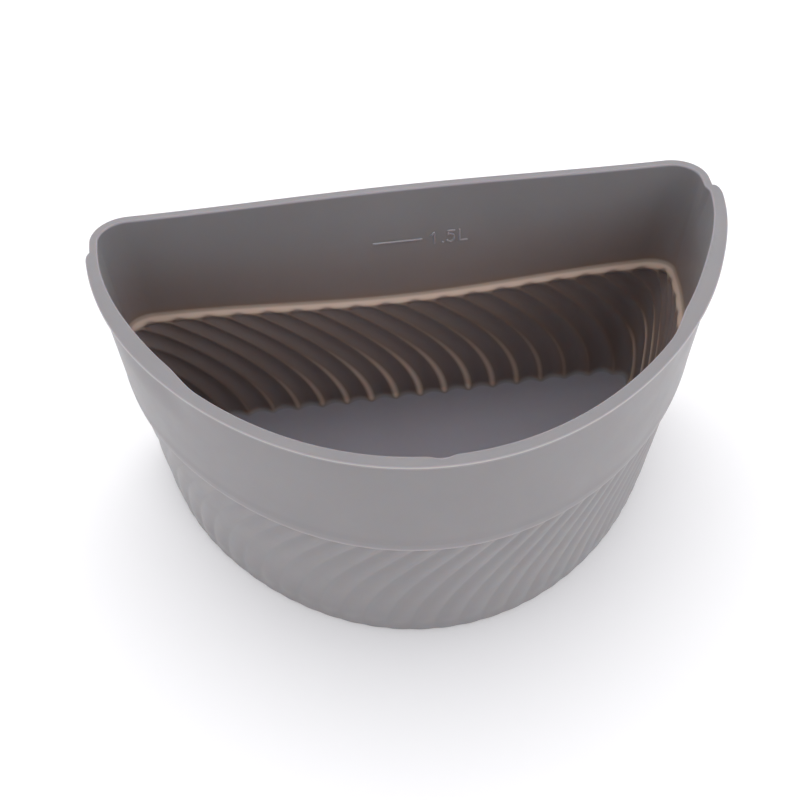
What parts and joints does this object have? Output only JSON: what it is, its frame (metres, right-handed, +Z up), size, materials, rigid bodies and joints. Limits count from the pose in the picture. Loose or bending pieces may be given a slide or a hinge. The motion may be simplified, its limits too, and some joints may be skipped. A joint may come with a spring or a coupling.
{
  "type": "half-round silicone tub",
  "caption": "Open half-round silicone tub with a flat back wall, a lip round the front, a shoulder, swept ribs on the lower wall and a fill line inside.",
  "frame": {"origin": "under the middle of the outline, on the surface that the tub stands on", "axes": "+X to the right along the flat back wall, +Y to the back wall, +Z up through the open top"},
  "size_m": [0.2195, 0.1258, 0.1124],
  "materials": {
    "silicone": "satin grey silicone"
  },
  "bodies": {
    "root": {"floor_pan": "silicone", "ribbed_back_wall": "silicone", "ribbed_left_wall": "silicone", "ribbed_right_wall": "silicone", "back_ledge": "silicone", "front_ledge": "silicone", "back_band": "silicone", "left_band": "silicone", "right_band": "silicone", "back_rim": "silicone", "left_grip": "silicone", "right_grip": "silicone", "front_lip": "silicone", "fill_line": "silicone", "volume_mark": "silicone"}
  },
  "joints": []
}
